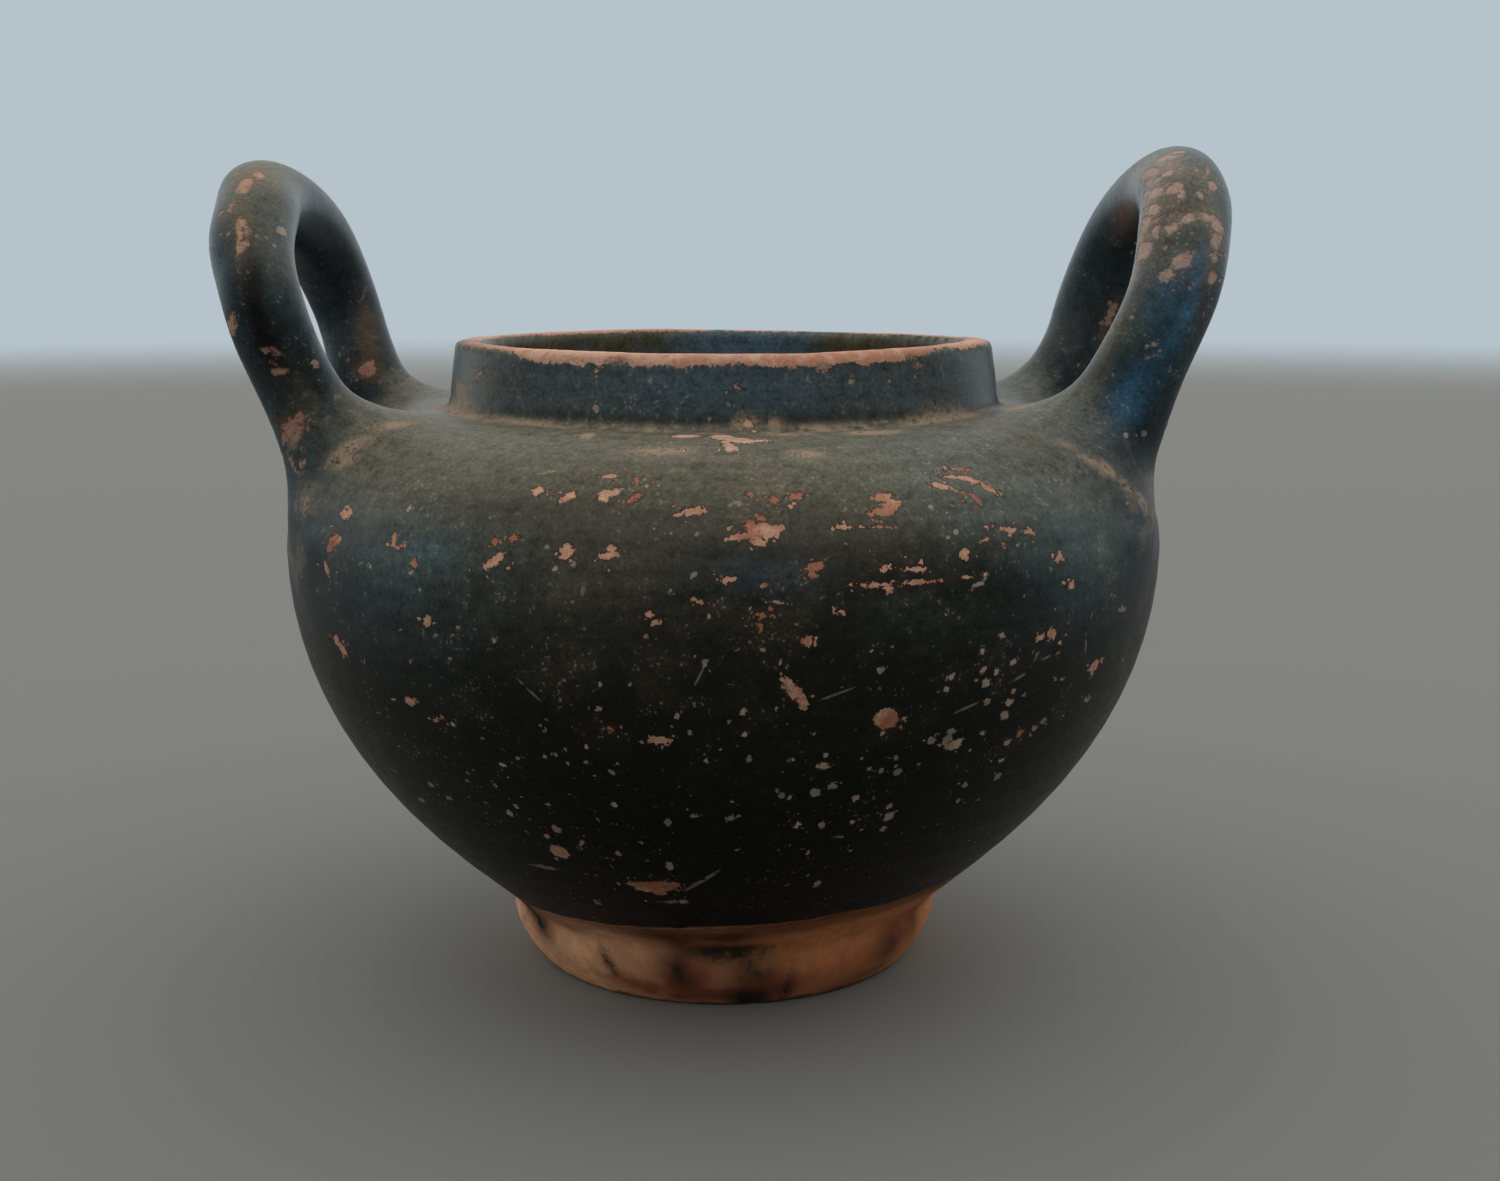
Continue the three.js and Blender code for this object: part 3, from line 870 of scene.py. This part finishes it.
class Paint:
    # the nodes of one material or of the world
    def __init__(self, tree):
        self.nodes = tree.nodes
        self.links = tree.links

    def node(self, kind, settings=None, inputs=None, output=0):
        # any node: its type, its settings, the values or wires of its inputs, and the output to go on from
        made = self.nodes.new("ShaderNode" + kind)
        for name, value in (settings or {}).items():
            setattr(made, name, value)
        for name, value in (inputs or {}).items():
            self.feed(made.inputs[name], value)
        return Wire(self, made.outputs[output])

    def feed(self, socket, value):
        if isinstance(value, Wire):
            self.links.new(value.socket, socket)
        elif socket.type == "RGBA":
            socket.default_value = (*value, 1)
        else:
            socket.default_value = value

    def vector(self, operation, *values, **named):
        output = "Value" if operation in ("LENGTH", "DOT_PRODUCT") else "Vector"
        inputs = {**dict(enumerate(values)), **named}
        return self.node("VectorMath", {"operation": operation}, inputs, output)

    def apart(self, place):
        # the x, y and z of a vector
        split = self.node("SeparateXYZ", inputs={0: place})
        return split, split.other("Y"), split.other("Z")

    def together(self, x, y, z):
        return self.node("CombineXYZ", inputs={0: x, 1: y, 2: z})

    def stored(self, name, output="Fac"):
        return self.node("Attribute", {"attribute_name": name}, output=output)

    def cloud(self, place, size, detail, rough):
        # soft noise around 0 whose patches are about that many millimetres wide
        inputs = {"Vector": place, "Scale": 1 / size, "Detail": detail, "Roughness": rough}
        return self.node("TexNoise", inputs=inputs) - 0.5

    def mix(self, under, over, mask):
        # colours are inputs 6 and 7 of a Mix node, and its colour result is output 2
        return self.node("Mix", {"data_type": "RGBA"}, {0: mask, 6: under, 7: over}, 2)

    def scaled(self, colour, factor):
        return self.vector("SCALE", colour, Scale=factor)

    def edge(self, place, kind):
        # distance in millimetres to the edge of the nearest mark of a kind, negative inside it
        gaps = []
        for slot in range(placing["slots"][kind]):
            names = (f"{kind}{slot}{part}" for part in ("At", "Long", "Wide"))
            at, long, wide = (self.stored(name, "Vector") for name in names)
            offset = self.vector("SUBTRACT", place, at)
            along, across = (self.vector("DOT_PRODUCT", offset, axis) for axis in (long, wide))
            span = self.vector("LENGTH", self.together(along, across, 0.0))
            gaps.append((span - 1) / self.vector("LENGTH", wide))
        nearest = gaps[0]
        for gap in gaps[1:]:
            nearest = nearest.least(gap)
        return nearest


def tone(red, green, blue):
    # a colour as a screen shows it, 0 to 255, in the linear light that the shader works in
    shares = (red / 255, green / 255, blue / 255)
    return tuple(((c + 0.055) / 1.055) ** 2.4 if c > 0.04045 else c / 12.92 for c in shares)


# The colours are those of the surface in even light, except those that paint light: the lowest black paints
# shade, the grey film partly and its cool one wholly paint sheen, the blue, collar, teal, blue sheen, grey
# sheen and inside blue paint reflections, and the dark one paints shade
gloss = {
    "low": tone(5, 5, 3), "middle": tone(30, 30, 25), "olive": tone(60, 57, 42), "blue": tone(56, 76, 84),
    "filmAndSheen": tone(116, 112, 97), "coolSheen": tone(92, 106, 104), "collar": tone(84, 94, 97),
    "greySheen": tone(112, 110, 98), "tealReflection": tone(86, 106, 104), "sheen": tone(62, 108, 140),
    "oliveStain": tone(98, 94, 68), "warm": tone(140, 98, 66), "dark": tone(20, 20, 16),
    "beige": tone(156, 136, 118),
    "inside": tone(98, 124, 140), "insideBrown": tone(92, 84, 62), "insideDeep": tone(78, 78, 68),
    "tan": tone(174, 150, 128), "pale": tone(160, 150, 130), "scratch": tone(136, 126, 106),
    "roughness": 0.4, "filmRoughness": 0.52, "clayRoughness": 0.8, "ior": 1.24,
}

# bare clay. rim paints shade along each flake's broken edge, and the same colour darkens the line under the
# gloss's edge on the foot
bareClay = {
    "pink": tone(216, 166, 140), "red": tone(170, 112, 88), "beige": tone(208, 178, 158),
    "dark": tone(48, 36, 28), "rim": tone(66, 36, 28), "handle": tone(206, 174, 160),
    "lip": tone(222, 176, 154), "lipRed": tone(190, 132, 106),
    "foot": tone(252, 190, 146), "footBrown": tone(212, 138, 90), "ochre": tone(158, 104, 54),
    "stain": tone(42, 38, 30), "footRed": tone(150, 82, 58), "footDark": tone(56, 48, 38),
}

# The noises that break up every mask: how wide their patches are, their detail and their roughness
noises = {
    "broad": (24, 1, 0.5), "patch": (6, 2, 0.5), "fine": (1.4, 2, 0.62), "grain": (0.4, 1, 0.6),
    "wheel": (1, 1, 0.6),
}

zones = {
    "glazeEdge": (11.2, 0.073, -0.041),  # height of the gloss's lower edge over the foot, and how it tilts
    "lipTop": 75.9, "lipWorn": 0.08, "lipWornFront": 1.3, "lipWornBack": 0.2,
    "collarFoot": (34, 67.9),  # radius and height of the corner where soil stays
    "wheelStretch": 16, "wheelTight": 0.8,  # how long the streaks left by the wheel are, and how close
}

# How high each of these stands out, and how deep the flakes are, in millimetres
relief = {"wheel": 0.03, "fine": 0.035, "grain": 0.012, "flakeDepth": 0.12}

# Values from which, and to which, each mask fades in: millimetres for places, or else amounts of noise
limits = {
    "handle": (1.5, 0.2), "handleOut": (38, 42),
    "brownAndShade": (20, 58), "olivePatch": (0.0, 0.2), "oliveUp": (20, 60),
    "blueAside": (10, 62), "blueUp": (36, 60),
    "collarUp": (68.5, 70), "collarIn": (34.5, 33), "filmAndSheen": (0.13, 0.98), "coolSheen": (4, 60),
    "insideBrown": (-0.12, 0.12), "insideLight": (46, 66),
    "cornerRise": (67.9, 69.2), "corner": (2.6, 0.3), "cornerPatch": (-0.14, 0.26),
    "seamPatch": (0.0, 0.16), "dust": (0.7, -0.6), "soilGrain": (-0.3, 0.06),
    "pits": (0.2, 0.32), "pale": (0.08, -0.12), "palePatch": (-0.08, 0.08),
    "scratch": (0.04, -0.05), "scratchGrain": (-0.14, 0.02),
    "flake": (0.03, -0.05), "rim": (0.3, 0.06), "rimGrain": (-0.1, 0.1),
    "redPatch": (-0.05, 0.12), "rightSide": (-1, 1), "beigeUp": (64, 67), "darkGrain": (0.1, 0.22),
    "dimFrom": (56, 40), "dimTo": (22, 14),
    "lipFront": (0.6, 0.82), "lipBack": (0.1, 0.6), "lipInner": (28.8, 29.7), "lipEdge": (0.16, -0.12),
    "lipOuter": (34, 33), "lipRed": (-0.1, 0.25),
    "foot": (0.15, -0.15), "underside": (8, 6), "footBrown": (-16, 18), "ochreUp": (-3.0, -0.8),
    "ochreAside": (-6, 12), "thinLine": (0.5, 0.1), "thinBand": (-1.2, 0.4),
    "stain": (0.9, -0.9), "stainGrain": (-0.3, 0.0), "stainLow": (0.9, 0.0),
}

# How much of each layer covers what is under it
cover = {
    "olive": 0.5, "blue": 0.75, "collar": 0.8, "filmAndSheen": 0.9, "inside": 0.9, "seam": 0.6, "soil": 0.9,
    "pits": 0.35, "pale": 0.68, "scratch": 0.7, "rim": 0.7, "beigeClay": 0.5, "darkClay": 0.5,
    "handleClay": (0.35, 0.55),  # on the left handle, and how much more on the right one
    "dim": (0.2, 0.4),  # how much dimmer flakes are low on the belly, and how much less so near the foot
    "lipRed": 0.8, "ochre": 0.7, "thinBand": 0.7, "thin": 0.6, "stainLow": 0.7, "stain": 0.9,
}


def paintPot(material):
    material.use_nodes = True
    paint = Paint(material.node_tree)
    shader = paint.nodes["Principled BSDF"]
    place = paint.vector("SCALE", paint.node("TexCoord", output="Object"), Scale=1 / mm)
    x, y, z = paint.apart(place)
    radius = (x * x + y * y) ** 0.5
    upward = paint.apart(paint.node("NewGeometry", output="Normal"))[2]
    within, handle, seam, track = (paint.stored(name) for name in ("within", "handle", "seam", "track"))
    outside = 1 - within
    onHandle = handle.fade(*limits["handle"]) * radius.fade(*limits["handleOut"])
    onCollar = z.fade(*limits["collarUp"]) * radius.fade(*limits["collarIn"])

    broad = paint.cloud(place, *noises["broad"])
    patch = paint.cloud(place, *noises["patch"])
    fine = paint.cloud(place, *noises["fine"])
    grain = paint.cloud(place, *noises["grain"])
    stretch = zones["wheelStretch"]
    streaks = paint.together(x / stretch, y / stretch, track * zones["wheelTight"])
    wheel = paint.cloud(streaks, *noises["wheel"])

    # black gloss, darker and a little browner low down, bluer to the sides, under a grey film on all that
    # faces up. The darkness low down is painted shade, the blue a painted reflection, and the grey partly a
    # real film and partly a painted sheen.
    # darker low on the belly: painted shade, with the gloss only a little browner there
    colour = paint.mix(gloss["low"], gloss["middle"], (z + broad * 20).fade(*limits["brownAndShade"]))
    olive = patch.fade(*limits["olivePatch"]) * z.fade(*limits["oliveUp"])
    colour = paint.mix(colour, gloss["olive"], olive * cover["olive"])
    # bluish painted reflection of the backdrop on the upper sides
    blue = (x.size() + broad * 40 + patch * 20).fade(*limits["blueAside"]) * z.fade(*limits["blueUp"])
    colour = paint.mix(colour, gloss["blue"], blue * cover["blue"])
    # the collar lighter and bluer: a painted sheen of the backdrop
    colour = paint.mix(colour, gloss["collar"], onCollar * cover["collar"])
    # grey on all that faces up: partly a real film, partly a painted sheen of the light from behind and
    # above, cooler to the right as a painted reflection
    filmAndSheen = (upward + broad * 0.3 + patch * 0.2 - onHandle * 0.1).fade(*limits["filmAndSheen"]) * outside
    cool = (x + broad * 60 + patch * 60).fade(*limits["coolSheen"])
    colour = paint.mix(colour, paint.mix(gloss["filmAndSheen"], gloss["coolSheen"], cool), filmAndSheen * cover["filmAndSheen"])
    # the grey, teal and blue tints paint sheen and reflections, the dark one paints shade, and the olive,
    # warm and beige ones are stains
    for name in ("greySheen", "tealReflection", "olive", "warm", "dark", "sheen", "beige"):
        tint = gloss["oliveStain" if name == "olive" else name]
        colour = paint.mix(colour, tint, paint.stored(name) * (1 + patch * 1.5))
    # the inside: its light blue high up is a painted reflection, and it is greyer and dimmer deeper in
    brownAndShade = (broad + patch * 0.4 + x.size() * 0.014 - 0.2).fade(*limits["insideBrown"])
    lining = paint.mix(gloss["inside"], gloss["insideBrown"], brownAndShade)
    lining = paint.mix(gloss["insideDeep"], lining, z.fade(*limits["insideLight"]))
    colour = paint.mix(colour, lining, within * cover["inside"])
    colour = paint.scaled(colour, 1 + wheel * 0.6 + fine * 1.3 + grain * 1.2)

    # tan soil at the foot of the collar, along the handles' seams and in marks of its own
    cornerRadius, cornerZ = zones["collarFoot"]
    corner = ((radius - cornerRadius) ** 2 + (z - cornerZ) ** 2) ** 0.5
    soil = (corner + patch * 3 + z.fade(*limits["cornerRise"]) * 2).fade(*limits["corner"])
    soil = soil * (patch + broad + fine).fade(*limits["cornerPatch"])
    soil = soil.most(seam * patch.fade(*limits["seamPatch"]) * cover["seam"])
    soil = soil.most((paint.edge(place, "dust") + patch * 2 + fine * 2.4).fade(*limits["dust"]))
    soil = soil * (fine + grain * 0.5).fade(*limits["soilGrain"]) * outside
    colour = paint.mix(colour, gloss["tan"], soil * cover["soil"])

    # small pits and lime spots all over, then the scratches
    torn = fine * 0.7 + grain * 0.9
    pits = (grain + fine * 0.6 + patch * 0.3).fade(*limits["pits"]) * outside
    pale = (paint.edge(place, "pale") + torn + 0.07).fade(*limits["pale"])
    lime = paint.mix(gloss["pale"], bareClay["beige"], patch.fade(*limits["palePatch"]))
    colour = paint.mix(colour, lime, pale.most(pits * cover["pits"]) * (cover["pale"] + fine))
    scratch = paint.edge(place, "scratches").fade(*limits["scratch"]) * fine.fade(*limits["scratchGrain"])
    colour = paint.mix(colour, gloss["scratch"], scratch * cover["scratch"])

    # flakes with a dark rim of painted shade along their broken edge, softer and paler on the handles,
    # dimmer low on the belly
    gap = (paint.edge(place, "flakes") + torn + onHandle * fine * 1.2) / (1 + onHandle * 5)
    flake = gap.fade(*limits["flake"])
    rim = (gap.fade(*limits["rim"]) - flake).most(0.0) * (1 - onHandle) * fine.fade(*limits["rimGrain"])
    colour = paint.mix(colour, bareClay["rim"], rim * cover["rim"])
    onLeft, moreOnRight = cover["handleClay"]
    handleClay = onHandle * (x.fade(*limits["rightSide"]) * moreOnRight + onLeft)
    chipped = paint.mix(bareClay["pink"], bareClay["red"], patch.fade(*limits["redPatch"]))
    chipped = paint.mix(chipped, bareClay["handle"], handleClay)
    higher = z.fade(*limits["beigeUp"]) * (1 - onHandle)
    chipped = paint.mix(chipped, bareClay["beige"], higher * cover["beigeClay"])
    dirt = (fine + grain * 0.5).fade(*limits["darkGrain"])
    chipped = paint.mix(chipped, bareClay["dark"], dirt * cover["darkClay"])
    dim, dimLess = cover["dim"]
    dimmer = z.fade(*limits["dimFrom"]) * dim - z.fade(*limits["dimTo"]) * dimLess
    chipped = paint.scaled(chipped, 1 + grain + patch * 0.6 - dimmer)
    colour = paint.mix(colour, chipped, flake * (1 - onHandle * 0.3 - onCollar * 0.4))

    # the worn lip
    front = (y / radius * -1).fade(*limits["lipFront"])
    back = (y / radius).fade(*limits["lipBack"])
    worn = zones["lipWorn"] + front * zones["lipWornFront"] + fine * 1.3 + patch * 1.4 + grain
    worn = worn * radius.fade(*limits["lipInner"]) + back * zones["lipWornBack"]
    lip = (zones["lipTop"] - z - worn).fade(*limits["lipEdge"]) * radius.fade(*limits["lipOuter"])
    redder = (fine + grain * 0.4 + broad).fade(*limits["lipRed"])
    lipClay = paint.mix(bareClay["lip"], bareClay["lipRed"], redder * cover["lipRed"])
    colour = paint.mix(colour, lipClay, lip)

    # the foot that was never glossed, with thin gloss run over its upper edge
    level, tiltX, tiltY = zones["glazeEdge"]
    above = z - x * tiltX - y * tiltY - level + fine * 0.5 + patch * 0.8
    foot = above.fade(*limits["foot"]) * z.fade(*limits["underside"]).most(outside)
    browner = (x + broad * 50).fade(*limits["footBrown"])
    ochre = above.fade(*limits["ochreUp"]) * x.fade(*limits["ochreAside"])
    footClay = paint.mix(bareClay["foot"], bareClay["footBrown"], browner)
    footClay = paint.mix(footClay, bareClay["ochre"], ochre * cover["ochre"])
    footClay = paint.scaled(footClay, 1 + fine * 0.9 + patch * 0.8)
    footClay = paint.mix(footClay, bareClay["footRed"], paint.stored("footRed") * (1 + patch * 2))
    darker = paint.stored("footDark") * (1.1 + patch * 2.4 + fine * 1.6)
    footClay = paint.mix(footClay, bareClay["footDark"], darker)
    colour = paint.mix(colour, footClay, foot)
    thinLine = (above + 0.5).size().fade(*limits["thinLine"]) * foot
    thinBand = (above + 1.6 + patch * 3).fade(*limits["thinBand"]) * foot
    thin = thinLine.most(thinBand * cover["thinBand"])
    colour = paint.mix(colour, bareClay["rim"], thin * cover["thin"])

    # dark stains on all bare clay
    clay = flake.most(lip).most(foot)
    stain = (paint.edge(place, "stains") + torn * 1.8 + patch * 3).fade(*limits["stain"])
    stain = stain * fine.fade(*limits["stainGrain"])
    stain = stain.most((z + patch * 2 + fine).fade(*limits["stainLow"]) * cover["stainLow"])
    colour = paint.mix(colour, bareClay["stain"], stain * clay * cover["stain"])

    duller = gloss["filmRoughness"] - gloss["roughness"]
    roughness = gloss["roughness"] + filmAndSheen * duller + fine * 0.25
    roughness = roughness + soil * 0.2 + clay * (gloss["clayRoughness"] - gloss["roughness"])
    height = wheel * relief["wheel"] + fine * relief["fine"] + grain * relief["grain"]
    height = height - flake * relief["flakeDepth"]
    bump = paint.node("Bump", inputs={"Strength": 1.0, "Distance": mm, "Height": height})
    for name, value in (("Base Color", colour), ("Roughness", roughness), ("Normal", bump)):
        paint.feed(shader.inputs[name], value)
    shader.inputs["IOR"].default_value = gloss["ior"]
    return material


pot = buildPot()
pot.data.materials.append(paintPot(bpy.data.materials.new("blackGloss")))
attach(pot, "root")
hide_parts("pyxis")
report("pot")

# A plain pale floor that fades into the backdrop, and soft light that comes mostly from behind and above
studio = {
    "floorRadius": 1.8, "fadeFrom": 1.0, "floor": tone(132, 131, 127),  # the first two in metres
    "floorRoughness": 0.9, "floorShine": 0.2, "floorSides": 128,
    "front": (0.06, 0.06, 0.055), "back": (1.15, 1.3, 1.4), "top": (1.0, 1.0, 0.96),
    "backFrom": (-0.45, 0.75), "topFrom": (0.0, 0.95),  # directions between which these two take over
    "backdrop": tone(182, 195, 203),
}


def layFloor():
    sides = studio["floorSides"]
    bpy.ops.mesh.primitive_circle_add(vertices=sides, radius=studio["floorRadius"], fill_type="NGON")
    floor = bpy.context.object
    floor.name = "floor"
    material = bpy.data.materials.new("floorPaint")
    material.use_nodes = True
    paint = Paint(material.node_tree)
    shader = paint.nodes["Principled BSDF"]
    shader.inputs["Base Color"].default_value = (*studio["floor"], 1)
    shader.inputs["Roughness"].default_value = studio["floorRoughness"]
    shader.inputs["Specular IOR Level"].default_value = studio["floorShine"]
    distance = paint.vector("LENGTH", paint.node("TexCoord", output="Object"))
    solid = Wire(paint, shader.outputs[0])
    clear = paint.node("BsdfTransparent")
    edge = distance.fade(studio["fadeFrom"], studio["floorRadius"])
    mixed = paint.node("MixShader", inputs={0: edge, 1: solid, 2: clear})
    paint.feed(paint.nodes["Material Output"].inputs["Surface"], mixed)
    floor.data.materials.append(material)


def setLight():
    world = bpy.data.worlds.new("studio")
    bpy.context.scene.world = world
    world.use_nodes = True
    paint = Paint(world.node_tree)
    _, back, up = paint.apart(paint.node("TexCoord", output="Generated"))
    light = paint.mix(studio["front"], studio["back"], back.fade(*studio["backFrom"]))
    light = paint.mix(light, studio["top"], up.fade(*studio["topFrom"]))
    seen = paint.node("LightPath", output="Is Camera Ray")
    paint.feed(paint.nodes["Background"].inputs["Color"], paint.mix(light, studio["backdrop"], seen))
    bpy.context.scene.view_settings.view_transform = "Standard"


layFloor()
setLight()
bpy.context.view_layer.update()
report("done")
